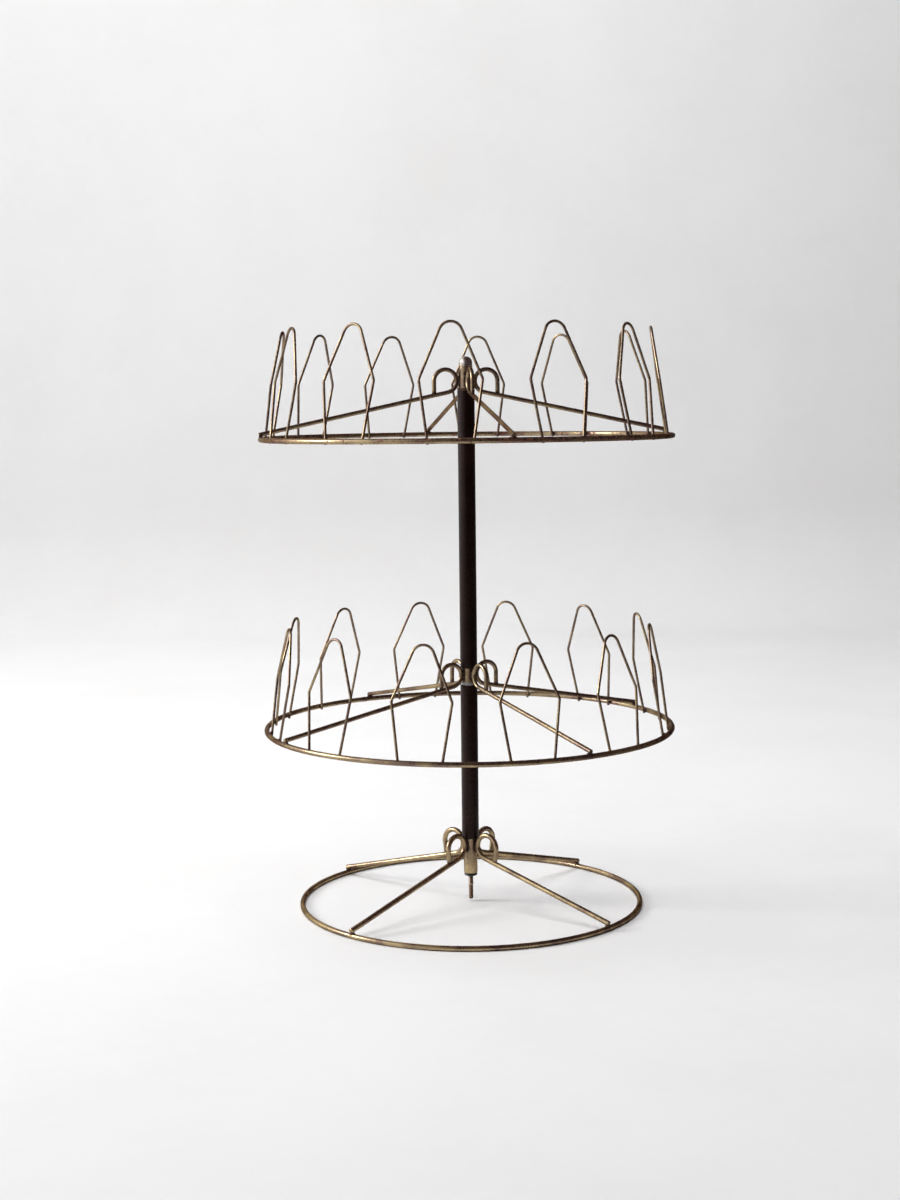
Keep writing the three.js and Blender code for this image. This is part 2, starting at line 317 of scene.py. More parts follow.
def unevenness(rng, length, amplitude, waves):
    """A smooth random function of the distance along a wire, no greater than this amplitude: a sum
    of sines with these numbers of waves in this length."""
    terms = [(rng.uniform(0.4, 1) / k, k, rng.uniform(0, FULL_TURN)) for k in waves]
    total = sum(weight for weight, _, _ in terms)

    def offset(distance):
        turn = FULL_TURN * distance / length
        return amplitude * sum(w * math.sin(k * turn + phase) for w, k, phase in terms) / total

    return offset


def spoke_centreline(wheel, ring_radius, rise):
    """A spoke as (distance from the axis, height above the ring) pairs, from its outer end: along
    the run, up and over beside the hub, and down to just above the run. Also its joints."""
    crook_radius, leg_lean = CROOK_RADIUS[wheel], LEG_LEAN[wheel]
    crook_at = HUB_OD / 2 + SPOKE_TO_HUB[wheel] + crook_radius
    run = ring_radius - crook_at
    slope = math.atan2(rise, run)
    to_ring = SPOKE_TO_RING[wheel]
    slope -= math.asin((crook_radius + to_ring) / math.hypot(run, rise))
    rest = (ring_radius + to_ring * math.sin(slope), to_ring * math.cos(slope))
    end_u = ring_radius + SPOKE_OVERRUN
    end = (end_u, rest[1] - (end_u - rest[0]) * math.tan(slope))
    crook = arc(crook_at, rise, crook_radius, -math.pi / 2 - slope, -FULL_TURN - leg_lean)

    leg_u, leg_v = crook[-1]
    above_run = (leg_u - rest[0]) * math.sin(slope) + (leg_v - rest[1]) * math.cos(slope)
    length = (above_run - SPOKE_WIRE[wheel] * LEG_CLEARANCE) / math.cos(slope - leg_lean)
    leg_end = (leg_u - length * math.sin(leg_lean), leg_v - length * math.cos(leg_lean))
    path = filled([end, *crook, leg_end])
    joints = {"ring": (ring_radius, RING_WIRE / 2), "hub": (HUB_OD / 2, rise), "leg": leg_end}
    return path, joints


def loop_centreline():
    """A loop in its own plane, as (sideways, height above the ring) pairs from foot to foot."""
    crown_centre = CROWN_HEIGHT - CROWN_RADIUS
    leg_tilt = math.atan2(SHOULDER_HALF_WIDTH - FOOT_HALF_WIDTH, SHOULDER_HEIGHT)
    side_tilt = math.atan2(SHOULDER_HALF_WIDTH, crown_centre - SHOULDER_HEIGHT)
    side_tilt -= math.asin(
        CROWN_RADIUS / math.hypot(SHOULDER_HALF_WIDTH, crown_centre - SHOULDER_HEIGHT)
    )
    to_centre = SHOULDER_RADIUS / math.cos((leg_tilt + side_tilt) / 2)
    bisector = (side_tilt - leg_tilt) / 2
    bend_x = SHOULDER_HALF_WIDTH - to_centre * math.cos(bisector)
    bend_z = SHOULDER_HEIGHT - to_centre * math.sin(bisector)
    tail = (FOOT_HALF_WIDTH - LOOP_TAIL * math.tan(leg_tilt), -LOOP_TAIL)
    shoulder = arc(bend_x, bend_z, SHOULDER_RADIUS, -leg_tilt, side_tilt)
    crown = arc(0, crown_centre, CROWN_RADIUS, side_tilt, math.pi - side_tilt)
    right = [tail, *shoulder]
    left = [(-x, z) for x, z in reversed(right)]
    return filled([*right, *crown, *left])


def at_azimuth(azimuth, point):
    """Turns a point drawn at azimuth 0 to its own azimuth."""
    return tuple(Matrix.Rotation(azimuth, 3, "Z") @ Vector(point))


# ---- Materials ----


def rgb(red, green, blue):
    return (red, green, blue, 1.0)


class NodeTree:
    """A node tree, with short calls for the nodes that the materials and the world need."""

    def __init__(self, tree):
        self.tree = tree
        self.tree.nodes.clear()

    def node(self, kind, settings=None, inputs=None):
        made = self.tree.nodes.new(kind)
        for key, value in (settings or {}).items():
            setattr(made, key, value)
        for key, value in (inputs or {}).items():
            if isinstance(value, bpy.types.NodeSocket):
                self.tree.links.new(value, made.inputs[key])
            else:
                made.inputs[key].default_value = value
        return made

    def ramp(self, value, start, end, low=0.0, high=1.0):
        """Goes smoothly from low to high while the value goes from start to end."""
        inputs = {0: value, 1: start, 2: end, 3: low, 4: high}
        settings = {"interpolation_type": "SMOOTHSTEP"}
        return self.node("ShaderNodeMapRange", settings, inputs).outputs[0]

    def math(self, operation, first, second):
        inputs = {0: first, 1: second}
        return self.node("ShaderNodeMath", {"operation": operation}, inputs).outputs[0]

    def blend(self, first, second, share):
        """The two values' sum, with this share of the second."""
        first = self.math("MULTIPLY", first, 1 - share)
        return self.math("ADD", first, self.math("MULTIPLY", second, share))

    def mix(self, factor, first, second):
        inputs = {0: factor, 6: first, 7: second}
        return self.node("ShaderNodeMix", {"data_type": "RGBA"}, inputs).outputs[2]

    def mix_shaders(self, factor, first, second):
        inputs = {0: factor, 1: first, 2: second}
        return self.node("ShaderNodeMixShader", inputs=inputs).outputs[0]

    def only_for(self, ray, value):
        """The value for this kind of ray, such as Camera or Glossy, and 0 for any other."""
        is_ray = self.node("ShaderNodeLightPath").outputs[f"Is {ray} Ray"]
        return self.math("MULTIPLY", value, is_ray)


class Finish(NodeTree):
    """One material, with its patterns laid out in the object's own space."""

    def __init__(self, name):
        self.material = bpy.data.materials.new(name)
        self.material.use_nodes = True
        super().__init__(self.material.node_tree)
        self.place = self.node("ShaderNodeTexCoord").outputs["Object"]

    def cloud(self, size, detail=3.0, stretch=(1, 1, 1)):
        """Noise around 0.5 whose blotches are about this size."""
        inputs = {"Vector": self.place, "Scale": stretch}
        place = self.node("ShaderNodeMapping", inputs=inputs).outputs["Vector"]
        inputs = {"Vector": place, "Scale": 1 / size, "Detail": detail, "Roughness": 0.6}
        return self.node("ShaderNodeTexNoise", inputs=inputs).outputs[0]

    def mark(self, name):
        settings = {"attribute_name": name}
        return self.node("ShaderNodeAttribute", settings).outputs["Fac"]

    def along(self, axis):
        return self.node("ShaderNodeSeparateXYZ", inputs={0: self.place}).outputs[axis]

    def surface(self, colour, roughness, metallic, relief, depth, coat=0.0, edge=None, gloss=0.5):
        """A principled shader, with relief as bumps this many metres deep. The edge tint is what
        metal reflects at a glancing angle, and gloss is how much anything else reflects."""
        inputs = {"Height": relief, "Distance": depth, "Strength": 1.0}
        bump = self.node("ShaderNodeBump", inputs=inputs)
        inputs = {
            "Base Color": colour,
            "Roughness": roughness,
            "Metallic": metallic,
            "Coat Weight": coat,
            "Specular Tint": edge or WHITE,
            "Specular IOR Level": gloss,
            "Normal": bump.outputs["Normal"],
        }
        return self.node("ShaderNodeBsdfPrincipled", inputs=inputs).outputs[0]

    def close(self, shader):
        self.node("ShaderNodeOutputMaterial", inputs={"Surface": shader})
        return self.material


WHITE = rgb(1, 1, 1)

GOLDEN_BRASS = rgb(0.5, 0.385, 0.215)
PALE_BRASS = rgb(0.42, 0.33, 0.192)
DULL_BRASS = rgb(0.18, 0.121, 0.1)
OLIVE_BRASS = rgb(0.3, 0.235, 0.142)
GRIMY_EDGE = rgb(0.38, 0.31, 0.29)
BURNT = rgb(0.045, 0.027, 0.022)
RUST = rgb(0.2, 0.08, 0.05)

THICK_LACQUER = rgb(0.005, 0.002, 0.0015)
THIN_LACQUER = rgb(0.015, 0.006, 0.004)
SCRATCHED_LACQUER = rgb(0.045, 0.024, 0.016)
RUBBED_LACQUER = rgb(0.05, 0.025, 0.016)
LACQUER_EDGE = rgb(1, 0.8, 0.78)

BROWN_STEEL = rgb(0.3, 0.215, 0.145)
RUSTY_STEEL = rgb(0.12, 0.07, 0.045)
LIGHT_BAND_STEEL = rgb(0.4, 0.32, 0.23)
CLEAN_NICKEL = rgb(0.7, 0.66, 0.61)
HAZED_NICKEL = rgb(0.4, 0.32, 0.25)
NICKEL_EDGE = rgb(0.55, 0.5, 0.46)
DULL_ZINC = rgb(0.2, 0.2, 0.19)
ZINC_BLOOM = rgb(0.42, 0.42, 0.4)

DARK_FIBRE = rgb(0.035, 0.013, 0.009)
RED_FIBRE = rgb(0.085, 0.034, 0.02)
OILED_FIBRE = rgb(0.02, 0.01, 0.008)
BLACK_PLASTIC = rgb(0.003, 0.003, 0.004)
DUST = rgb(0.05, 0.043, 0.04)

# How deep the finest grain is in a plated or lacquered surface.
FINE_RELIEF = 0.012 * MM


def aged_brass(name, rust_above, bright=PALE_BRASS, dull_above=0.5, burn_and_shade_above=0.62):
    """Brass plate that has gone dull in patches, is burnt dark at the welds and has spots of rust; on
    the hub the marks also carry painted shade. Lower thresholds make more of it dull, dark at the
    marks, or rusty."""
    finish = Finish(name)
    patches = finish.cloud(22 * MM, detail=4)
    mottle = finish.cloud(3 * MM)
    specks = finish.cloud(0.7 * MM)
    tarnish = finish.ramp(patches, dull_above - 0.2, dull_above + 0.22)
    colour = finish.mix(tarnish, bright, DULL_BRASS)
    olive = finish.ramp(mottle, 0.5, 0.72, high=0.55)
    colour = finish.mix(olive, colour, OLIVE_BRASS)

    # Dark at the joint marks: weld burn on the wires, and on the hub painted shade as well.
    burn_and_shade = finish.math("ADD", finish.mark("joint"), finish.math("MULTIPLY", mottle, 0.5))
    burn_and_shade = finish.ramp(burn_and_shade, burn_and_shade_above, burn_and_shade_above + 0.43)
    colour = finish.mix(burn_and_shade, colour, BURNT)

    spots = finish.blend(mottle, patches, 0.35)
    rust = finish.ramp(spots, rust_above, rust_above + 0.05, high=0.85)
    colour = finish.mix(rust, colour, RUST)

    roughness = finish.ramp(mottle, 0.3, 0.7, low=0.24, high=0.36)
    roughness = finish.math("ADD", roughness, finish.math("MULTIPLY", burn_and_shade, 0.3))
    roughness = finish.math("ADD", roughness, finish.math("MULTIPLY", rust, 0.35))
    metallic = finish.math("SUBTRACT", 1.0, finish.math("MULTIPLY", rust, 0.85))
    metallic = finish.math("SUBTRACT", metallic, finish.math("MULTIPLY", burn_and_shade, 0.4))
    shader = finish.surface(colour, roughness, metallic, specks, FINE_RELIEF, edge=GRIMY_EDGE)
    return finish.close(shader)


def bead_metal(name):
    """Weld metal: burnt and dull, with brass and rust showing here and there."""
    finish = Finish(name)
    mottle = finish.cloud(1.4 * MM)
    grain = finish.cloud(0.6 * MM)
    colour = finish.mix(finish.ramp(mottle, 0.4, 0.7), BURNT, DULL_BRASS)
    rust = finish.ramp(finish.cloud(3.1 * MM), 0.52, 0.62, high=0.8)
    colour = finish.mix(rust, colour, RUST)
    roughness = finish.ramp(mottle, 0.3, 0.7, low=0.7, high=0.42)
    metallic = finish.math("SUBTRACT", 0.8, finish.math("MULTIPLY", rust, 0.7))
    return finish.close(finish.surface(colour, roughness, metallic, grain, 0.15 * MM))


def dark_bronze(name, bottom, top):
    """Nearly black brown lacquer, thin in patches and rubbed at the rims of the tube's ends."""
    finish = Finish(name)
    patches = finish.cloud(35 * MM, detail=4)
    mottle = finish.cloud(2.5 * MM)
    scratches = finish.cloud(1.2 * MM, stretch=(1, 1, 0.06))
    colour = finish.mix(finish.ramp(patches, 0.35, 0.7), THICK_LACQUER, THIN_LACQUER)
    worn = finish.ramp(scratches, 0.68, 0.76, high=0.5)
    colour = finish.mix(worn, colour, SCRATCHED_LACQUER)

    rim = 0.8 * MM
    height = finish.along("Z")
    low_end = finish.ramp(height, bottom, bottom + rim, low=1, high=0)
    high_end = finish.ramp(height, top - rim, top)
    ends = finish.math("ADD", finish.math("MAXIMUM", low_end, high_end), mottle)
    ends = finish.ramp(ends, 1.1, 1.5)
    colour = finish.mix(ends, colour, RUBBED_LACQUER)
    roughness = finish.ramp(mottle, 0.3, 0.7, low=0.26, high=0.36)
    roughness = finish.math("ADD", roughness, finish.math("MULTIPLY", ends, 0.3))
    shader = finish.surface(
        colour, roughness, 0.0, scratches, FINE_RELIEF, edge=LACQUER_EDGE, gloss=0.19
    )
    return finish.close(shader)


def tarnished_rod(name, collar_bottom, collar_top):
    """Browned steel with rust in the threads, and a lighter band on the collar."""
    finish = Finish(name)
    mottle = finish.cloud(1.8 * MM)
    grain = finish.cloud(0.5 * MM)
    colour = finish.mix(finish.ramp(mottle, 0.35, 0.65), BROWN_STEEL, RUSTY_STEEL)
    height = finish.along("Z")
    fade, overlap = 1.2 * MM, 0.2 * MM
    above = finish.ramp(height, collar_bottom - fade, collar_bottom + overlap)
    below = finish.ramp(height, collar_top - overlap, collar_top + fade, low=1, high=0)
    band = finish.math("MULTIPLY", above, below)
    colour = finish.mix(band, colour, LIGHT_BAND_STEEL)
    roughness = finish.ramp(grain, 0.3, 0.7, low=0.4, high=0.62)
    return finish.close(finish.surface(colour, roughness, 0.75, grain, 0.06 * MM))


def polished_nickel(name):
    """Bright nickel plate with hairline scratches and a little brown haze."""
    finish = Finish(name)
    haze = finish.cloud(5 * MM, detail=4)
    hairlines = finish.cloud(0.8 * MM, stretch=(1, 1, 7))
    colour = finish.mix(finish.ramp(haze, 0.4, 0.7), CLEAN_NICKEL, HAZED_NICKEL)
    roughness = finish.ramp(hairlines, 0.35, 0.75, low=0.15, high=0.3)
    shader = finish.surface(colour, roughness, 1.0, hairlines, 0.01 * MM, edge=NICKEL_EDGE)
    return finish.close(shader)


def grey_zinc(name):
    """Dull zinc-plated steel with white bloom and a few rust spots."""
    finish = Finish(name)
    mottle = finish.cloud(2.2 * MM)
    colour = finish.mix(finish.ramp(mottle, 0.35, 0.7), DULL_ZINC, ZINC_BLOOM)
    rust = finish.ramp(finish.cloud(4 * MM), 0.6, 0.68, high=0.8)
    colour = finish.mix(rust, colour, RUST)
    metallic = finish.math("SUBTRACT", 0.85, finish.math("MULTIPLY", rust, 0.7))
    roughness = finish.ramp(mottle, 0.3, 0.7, low=0.38, high=0.6)
    return finish.close(finish.surface(colour, roughness, metallic, mottle, 0.05 * MM))


def red_fibre(name):
    """Pressed red-brown fibre gone dark with oil, with flattened strands."""
    finish = Finish(name)
    strands = finish.cloud(0.5 * MM, stretch=(0.35, 1, 3))
    stains = finish.cloud(6 * MM)
    colour = finish.mix(finish.ramp(strands, 0.3, 0.7), DARK_FIBRE, RED_FIBRE)
    colour = finish.mix(finish.ramp(stains, 0.4, 0.65, high=0.8), colour, OILED_FIBRE)
    roughness = finish.ramp(strands, 0.3, 0.7, low=0.7, high=0.9)
    return finish.close(finish.surface(colour, roughness, 0.0, strands, 0.12 * MM))


def black_plastic(name):
    """Glossy black plastic with moulding ripples and dust."""
    finish = Finish(name)
    ripples = finish.cloud(4 * MM)
    dust = finish.cloud(0.6 * MM)
    colour = finish.mix(finish.ramp(dust, 0.66, 0.8, high=0.5), BLACK_PLASTIC, DUST)
    roughness = finish.ramp(dust, 0.4, 0.8, low=0.12, high=0.4)
    return finish.close(finish.surface(colour, roughness, 0.0, ripples, 0.05 * MM, coat=0.15))


RING_BRASS = {
    "base": aged_brass("ring_brass_base", rust_above=0.66, bright=GOLDEN_BRASS),
    "lower_tier": aged_brass("ring_brass_lower", rust_above=0.65),
    "upper_tier": aged_brass("ring_brass_upper", rust_above=0.53),
}
SPOKE_BRASS = {
    "base": aged_brass("spoke_brass_base", rust_above=0.67, bright=GOLDEN_BRASS, dull_above=0.52),
    "lower_tier": aged_brass("spoke_brass_lower", rust_above=0.66, dull_above=0.46),
    "upper_tier": aged_brass("spoke_brass_upper", rust_above=0.66, dull_above=0.48),
}
LOOP_BRASS = aged_brass("loop_brass", rust_above=0.66, dull_above=0.45)
# The hub's lower threshold darkens more of it around the marks beside its welds: painted shade between
# the crooks as well as weld burn.
HUB_BRASS = aged_brass("hub_brass", rust_above=0.66, bright=GOLDEN_BRASS, burn_and_shade_above=0.44)
BEAD_METAL = bead_metal("bead_metal")

# ---- Weld beads ----

# Half sizes: sideways, along the radius and upwards.
RING_BEAD = (3.1 * MM, 1.9 * MM, 1.0 * MM)
HUB_BEAD = (1.9 * MM, 0.9 * MM, 4.6 * MM)
LEG_BEAD = (1.7 * MM, 2.2 * MM, 0.8 * MM)
FOOT_BEAD = (1.5 * MM, 1.0 * MM, 1.9 * MM)
HUB_BEAD_OFFSET = 0.2 * MM
FOOT_BEAD_DEPTH = 0.3 * MM

# How much a bead swells and dips in broad lumps and in small ones, as a share of its size.
BROAD_SWELL = 0.28
SMALL_SWELL = 0.1


def lump(centre, axes, half_sizes, rng):
    """An uneven closed bead about a centre, as points and faces."""
    ball = bmesh.new()
    bmesh.ops.create_icosphere(ball, subdivisions=3, radius=1.0)
    points = [v.co.copy() for v in ball.verts]
    faces = [[v.index for v in face.verts] for face in ball.faces]
    ball.free()
    origin = Vector([rng.uniform(-50, 50) for _ in range(3)])
    placed = []
    for point in points:
        broad, small = noise.noise(point * 1.3 + origin), noise.noise(point * 4 + origin)
        swell = 1 + BROAD_SWELL * broad + SMALL_SWELL * small
        offset = Vector((0, 0, 0))
        for value, axis, half in zip(point, axes, half_sizes):
            offset += Vector(axis) * (value * half * swell)
        placed.append(Vector(centre) + offset)
    return placed, faces


def bead_at(shape, azimuth, centre, half_sizes, rng):
    """Adds a bead, given at azimuth 0, to a shape."""
    turn = Matrix.Rotation(azimuth, 3, "Z")
    axes = [turn.col[i] for i in range(3)]
    shape.add(*lump(at_azimuth(azimuth, centre), axes, half_sizes, rng))


# ---- Wheels ----

# How far a ring is out of true, and the swelling at its seam: its reach along the wire, the number
# of stations on each side of it, and its height as a share of the wire's radius.
RING_WANDER = 0.25 * MM
RING_SEAM_REACH = 1.7 * MM
RING_SEAM_STATIONS = 8
RING_SEAM_SWELL = 0.07


def ring_shape(wheel, centre_radius, level, seam, rng):
    """A ring of wire, slightly out of true, with the swelling where its two ends were butt welded.
    The foot's ring stays level, and only its seam is lifted, so that it rests on the floor."""
    out_of_round = unevenness(rng, FULL_TURN, RING_WANDER, range(2, 9))
    rise_and_fall = unevenness(rng, FULL_TURN, RING_WANDER, range(2, 7))
    angles = [FULL_TURN * i / RING_STATIONS for i in range(RING_STATIONS)]
    seam_reach = 3 * RING_SEAM_REACH / centre_radius
    angles = [a for a in angles if abs(a - seam) > seam_reach]
    near_seam = range(-RING_SEAM_STATIONS, RING_SEAM_STATIONS + 1)
    angles += [seam + seam_reach * i / RING_SEAM_STATIONS for i in near_seam]
    path, radii = [], []
    for angle in sorted(angles):
        radius = centre_radius + out_of_round(angle)
        from_seam = (angle - seam) * centre_radius / RING_SEAM_REACH
        swelling = RING_WIRE / 2 * RING_SEAM_SWELL * math.exp(-from_seam ** 2)
        lift = swelling if wheel == "base" else rise_and_fall(angle)
        path.append(at_azimuth(angle, (0, -radius, level + lift)))
        radii.append(RING_WIRE / 2 + swelling)
    shape = Shape()
    shape.add(*sweep(path, radii, closed=True))
    return shape


# How far a spoke wanders sideways, and how much its thickness varies.
SPOKE_WANDER = 0.2 * MM
SPOKE_VARIATION = 0.012

# A spoke's azimuth is read from its part beyond this share of the ring's radius.
STRAIGHT_PART = 0.6


def add_spoke(wheel, node, ring_radius, level, rise, beads, rng):
    """One spoke and its three welds: on the ring, beside the hub and at the leg's tip."""
    path, joints = spoke_centreline(wheel, ring_radius, rise)
    azimuth = azimuth_of(node, beyond=ring_radius * STRAIGHT_PART)
    sideways = unevenness(rng, ring_radius, SPOKE_WANDER, range(1, 5))
    placed = [at_azimuth(azimuth, (sideways(u), -u, level + v)) for u, v in path]
    width = unevenness(rng, ring_radius, SPOKE_VARIATION, range(5, 12))
    radii = [SPOKE_WIRE[wheel] / 2 * (1 + width(u)) for u, _ in path]
    shape = Shape()
    shape.add(*sweep(placed, radii))
    spots = [at_azimuth(azimuth, (0, -u, level + v)) for u, v in joints.values()]
    add_detail(node, shape, SPOKE_BRASS[wheel], spots)

    u, v = joints["ring"]
    bead_at(beads, azimuth, (0, -u, level + v), RING_BEAD, rng)
    u, v = joints["hub"]
    bead_at(beads, azimuth, (0, -u - HUB_BEAD_OFFSET, level + v), HUB_BEAD, rng)
    u, v = joints["leg"]
    bead_at(beads, azimuth, (0, -u, level + v), LEG_BEAD, rng)
    return spots[0]


# How far a loop's crown is off to one side or out of its plane, and how far its wire wanders.
LOOP_SWAY = 0.7 * MM
LOOP_WANDER = 0.12 * MM


def add_loop(node, ring_radius, level, beads, rng):
    """One loop, leaning inwards from the ring, and the welds at its two feet."""
    azimuth = azimuth_of(node)
    foot_line = math.sqrt(ring_radius ** 2 - FOOT_HALF_WIDTH ** 2) - LOOP_TO_RING
    sway = rng.uniform(-LOOP_SWAY, LOOP_SWAY)
    nod = rng.uniform(-LOOP_SWAY, LOOP_SWAY)
    wander = unevenness(rng, CROWN_HEIGHT, LOOP_WANDER, range(1, 5))

    def placed(x, z):
        bend = (max(z, 0) / CROWN_HEIGHT) ** 2
        side = x + sway * bend
        out = -foot_line + z * math.sin(LOOP_LEAN) + nod * bend + wander(z + x)
        return at_azimuth(azimuth, (side, out, level + z * math.cos(LOOP_LEAN)))

    path = [placed(x, z) for x, z in loop_centreline()]
    shape = Shape()
    shape.add(*sweep(path, [LOOP_WIRE / 2] * len(path)))
    spots = []
    touch = (0, RING_WIRE / 2 + FOOT_BEAD_DEPTH - ring_radius, level)
    for side in (-1, 1):
        turn = azimuth + side * math.asin(FOOT_HALF_WIDTH / ring_radius)
        spots.append(at_azimuth(turn, touch))
        bead_at(beads, turn, touch, FOOT_BEAD, rng)
    add_detail(node, shape, LOOP_BRASS, spots)
    return spots


HUB_ROUNDING = 0.5 * MM
HUB_ROWS = 26

# The hub is darkened beside each crook's weld, at these heights above the crook's middle: weld burn,
# and painted shade in the recess between the crooks.
SHADE_AND_BURN_LIFTS = (-3 * MM, 0, 3 * MM, 6 * MM)


def tube_profile(node):
    low, high = levels_of(node)
    inner, outer = bore_of(node), reach_of(node)
    return [(inner, low), (outer, low), (outer, high), (inner, high)]


def add_wheel(wheel, seam, seed):
    """A ring with its spokes, its hub, any loops and their welds."""
    rng = random.Random(seed)
    ring = f"{wheel}_ring"
    hub = f"{wheel}_hub"
    low, high = levels_of(ring)
    level = (low + high) / 2
    ring_radius = reach_of(ring) - RING_WIRE / 2
    rise = levels_of(hub)[1] - HUB_ABOVE_CROOK[wheel] - level
    beads = Shape()
    spokes = nodes_with(f"{wheel}_spoke_")
    spots = [add_spoke(wheel, node, ring_radius, level, rise, beads, rng) for node in spokes]
    for node in nodes_with(f"{wheel}_loop_"):
        spots.extend(add_loop(node, ring_radius, level, beads, rng))
    shape = ring_shape(wheel, ring_radius, level, seam, rng)
    add_detail(ring, shape, RING_BRASS[wheel], spots)
    azimuths = [azimuth_of(node, beyond=ring_radius * STRAIGHT_PART) for node in spokes]
    # Marks on the hub beside each crook: painted shade between the crooks as well as weld burn.
    shade_and_burns = [
        at_azimuth(azimuth, (0, -HUB_OD / 2, level + rise + lift))
        for azimuth in azimuths
        for lift in SHADE_AND_BURN_LIFTS
    ]
    add_detail(hub, hub_shape(hub), HUB_BRASS, shade_and_burns, sharp=60)
    add_piece(f"{wheel}_welds", beads, BODY_OF[ring], BEAD_METAL, sharp=80)


def hub_shape(hub):
    """A hub tube, with rows enough along it for its marks beside the welds."""
    (inner, low), (outer, _), (_, high), _ = tube_profile(hub)
    side = [(outer, low + (high - low) * i / HUB_ROWS) for i in range(HUB_ROWS + 1)]
    return turned(rounded([(inner, low), *side, (inner, high)], HUB_ROUNDING, steps=3))


# ---- Poles, washers, bushes, rod and nuts ----


def add_tube(node, material, rounding):
    add_detail(node, turned(rounded(tube_profile(node), rounding)), material, sharp=60)


ROD_SEGMENTS = 32
THREAD_PITCH = 0.8 * MM
THREAD_DEPTH = 0.32 * MM
THREAD_ROWS_PER_TURN = 8
THREAD_TO_COLLAR = 0.4 * MM
TIP_CHAMFER = {"height": 0.6 * MM, "depth": 0.5 * MM}
COLLAR_BEVEL = 0.1 * MM
TOP_CHAMFER = 0.3 * MM


def rod_measures():
    """The rod's radius, its collar's radius, and its collar's lowest and highest levels."""
    points = vertices_of("tie_rod")
    distances = np.hypot(points[:, 0], points[:, 1])
    collar_radius = reach_of("tie_rod")
    collar = points[distances > collar_radius - 0.05 * MM][:, 2]
    below_collar = distances[points[:, 2] < collar.min() - MM]
    return float(below_collar.max()), collar_radius, float(collar.min()), float(collar.max())


def thread_rows(low, high, radius):
    """The thread as (height, radius, groove depth) rows, with a chamfered tip."""
    steps = math.ceil((high - low) / THREAD_PITCH * THREAD_ROWS_PER_TURN)
    rows = []
    for i in range(steps + 1):
        height = low + (high - low) * i / steps
        fade = min(1, (height - low) / (2 * THREAD_PITCH), (high - height) / THREAD_PITCH)
        to_tip = max(0, 1 - (height - low) / TIP_CHAMFER["height"])
        rows.append((height, radius - to_tip * TIP_CHAMFER["depth"], THREAD_DEPTH * max(0, fade)))
    return rows


def add_tie_rod():
    """The rod: a threaded lower end with a chamfered tip, a thin collar, and a plain shank."""
    low, high = levels_of("tie_rod")
    radius, collar_radius, collar_low, collar_high = rod_measures()
    rows = thread_rows(low, collar_low - THREAD_TO_COLLAR, radius)
    plain = [
        (collar_low - COLLAR_BEVEL, radius),
        (collar_low, collar_radius - COLLAR_BEVEL),
        (collar_low + COLLAR_BEVEL, collar_radius),
        (collar_high - COLLAR_BEVEL, collar_radius),
        (collar_high, collar_radius - COLLAR_BEVEL),
        (collar_high + COLLAR_BEVEL, radius),
        (high - TOP_CHAMFER, radius),
        (high, radius - TOP_CHAMFER),
    ]
    rows.extend((height, size, 0) for height, size in plain)
    points = []
    for height, size, depth in rows:
        for j in range(ROD_SEGMENTS):
            turn = FULL_TURN * j / ROD_SEGMENTS
            phase = height / THREAD_PITCH - j / ROD_SEGMENTS
            reach = size - depth * (0.5 + 0.5 * math.cos(FULL_TURN * phase))
            points.append((reach * math.cos(turn), reach * math.sin(turn), height))
    shape = Shape()
    shape.add(points, grid_faces(len(rows), ROD_SEGMENTS, wrap_rows=False, cap=True))
    material = tarnished_rod("rod_steel", collar_low, collar_high)
    add_detail("tie_rod", shape, material, sharp=60)


NUT_SEGMENTS = 48
NUT_CHAMFER = 0.35 * MM


def add_rod_nut():
    """A hexagon nut with its corners rounded off on both faces, inside the bottom hub."""
    low, high = levels_of("rod_nut")
    corner, bore = reach_of("rod_nut"), bore_of("rod_nut")
    half_side = math.pi / 6
    flat = corner * math.cos(half_side)
    rows = [
        (low, bore + NUT_CHAMFER),
        (low, flat),
        (low + NUT_CHAMFER, corner),
        (high - NUT_CHAMFER, corner),
        (high, flat),
        (high, bore + NUT_CHAMFER),
        (high - NUT_CHAMFER, bore),
        (low + NUT_CHAMFER, bore),
    ]
    points = []
    for height, reach in rows:
        for j in range(NUT_SEGMENTS):
            turn = FULL_TURN * j / NUT_SEGMENTS
            from_corner = abs((turn + half_side) % (2 * half_side) - half_side)
            size = min(reach, flat / math.cos(half_side - from_corner))
            points.append((size * math.cos(turn), size * math.sin(turn), height))
    shape = Shape()
    shape.add(points, grid_faces(len(rows), NUT_SEGMENTS, wrap_rows=True, cap=False))
    add_detail("rod_nut", shape, grey_zinc("nut_zinc"), sharp=30)


BUSH_LIP = 2.7 * MM
BUSH_EDGE = 1.25 * MM
SPIGOT_GAP = 0.15 * MM


def add_bottom_bush():
    """The glossy bush under the bottom hub, with a fully rounded rim."""
    low, high = levels_of("bottom_bush")
    bore, outer = bore_of("bottom_bush"), reach_of("bottom_bush")
    spigot = bore_of("base_hub") - SPIGOT_GAP
    rim = arc(outer - BUSH_EDGE, low + BUSH_EDGE, BUSH_EDGE, -math.pi / 2, 0)
    upper = arc(outer - BUSH_EDGE, low + BUSH_LIP - BUSH_EDGE, BUSH_EDGE, 0, math.pi / 2)
    profile = [(bore, low), *rim, *upper, (spigot, low + BUSH_LIP), (spigot, high), (bore, high)]
    plastic = black_plastic("bush_plastic")
    add_detail("bottom_bush", turned(profile), plastic, sharp=50)


TOP_BUSH_LIP = 0.9 * MM
TOP_BUSH_ROUNDING = 0.25 * MM


